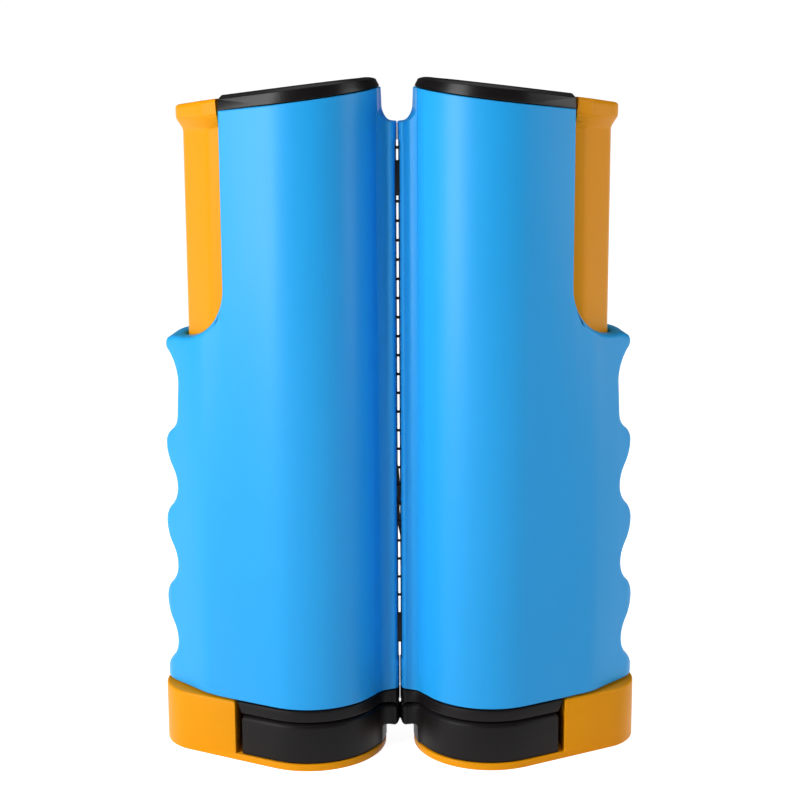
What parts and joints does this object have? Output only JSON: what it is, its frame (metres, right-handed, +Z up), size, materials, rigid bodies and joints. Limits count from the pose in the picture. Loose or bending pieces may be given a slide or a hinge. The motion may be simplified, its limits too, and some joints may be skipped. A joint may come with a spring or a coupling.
{
  "type": "table tennis net clamp",
  "caption": "Pair of retractable table tennis net posts with grip housings, thumb levers that open spring-loaded table clamps, and sprung reels that wind the net",
  "frame": {"origin": "middle of the pair, on the plane that both foot plates stand on", "axes": "+X from the left post to the right one, along the net; +Y to the side away from the viewer; +Z up"},
  "size_m": [0.1316, 0.042, 0.186],
  "materials": {
    "housing_blue": "satin moulded plastic",
    "lever_orange": "satin moulded plastic",
    "cap_black": "semi-gloss moulded plastic",
    "jaw_black": "satin moulded plastic",
    "reel_plastic": "plain moulded plastic",
    "net_cord": "knotted synthetic net",
    "steel": "drawn rod",
    "spring_steel": "coiled wire",
    "screw_steel": "zinc plated"
  },
  "bodies": {
    "left_post": {"left_front_shell": "housing_blue", "left_rear_shell": "housing_blue", "left_base_cap": "jaw_black", "left_top_cap": "cap_black", "left_guide_rod": "steel", "left_clamp_spring": "spring_steel", "left_reel_spindle": "steel", "left_return_spring": "spring_steel", "left_net_feed": "net_cord", "left_housing_screws": "screw_steel"},
    "left_reel": {"left_reel_tube": "reel_plastic", "left_lower_plug": "reel_plastic", "left_upper_plug": "reel_plastic", "left_net_roll": "net_cord"},
    "left_clamp": {"left_thumb_lever": "lever_orange", "left_jaw_bracket": "lever_orange", "left_jaw_pad": "jaw_black", "left_jaw_screw": "screw_steel"},
    "right_post": {"right_front_shell": "housing_blue", "right_rear_shell": "housing_blue", "right_base_cap": "jaw_black", "right_top_cap": "cap_black", "right_guide_rod": "steel", "right_clamp_spring": "spring_steel", "right_reel_spindle": "steel", "right_return_spring": "spring_steel", "right_net_feed": "net_cord", "right_housing_screws": "screw_steel", "net_span": "net_cord"},
    "right_reel": {"right_reel_tube": "reel_plastic", "right_lower_plug": "reel_plastic", "right_upper_plug": "reel_plastic", "right_net_roll": "net_cord"},
    "right_clamp": {"right_thumb_lever": "lever_orange", "right_jaw_bracket": "lever_orange", "right_jaw_pad": "jaw_black", "right_jaw_screw": "screw_steel"}
  },
  "joints": [
    {"name": "net_pull_out", "type": "slide", "parent": "left_post", "child": "right_post", "axis": [1, 0, 0], "range_m": [0, 1.7], "stiffness_N_per_m": 1.5, "springref_m": -1, "deforming": ["net_span"]},
    {"name": "left_jaw_opening", "type": "slide", "parent": "left_post", "child": "left_clamp", "axis": [0, 0, -1], "range_m": [0, 0.046], "stiffness_N_per_m": 400, "springref_m": -0.03, "deforming": ["left_clamp_spring"]},
    {"name": "left_reel_turn", "type": "hinge", "parent": "left_post", "child": "left_reel", "pos_m": [-0.02491, 0, 0.0946], "axis": [0, 0, 1], "range_deg": [0, 5040]},
    {"name": "right_jaw_opening", "type": "slide", "parent": "right_post", "child": "right_clamp", "axis": [0, 0, -1], "range_m": [0, 0.046], "stiffness_N_per_m": 400, "springref_m": -0.03, "deforming": ["right_clamp_spring"]},
    {"name": "right_reel_turn", "type": "hinge", "parent": "right_post", "child": "right_reel", "pos_m": [0.02491, 0, 0.0946], "axis": [0, 0, 1], "range_deg": [-5040, 0]}
  ],
  "couplings": [
    {"joint": "left_reel_turn", "follows": "net_pull_out", "rad_per_m": 51},
    {"joint": "right_reel_turn", "follows": "net_pull_out", "rad_per_m": -51}
  ]
}
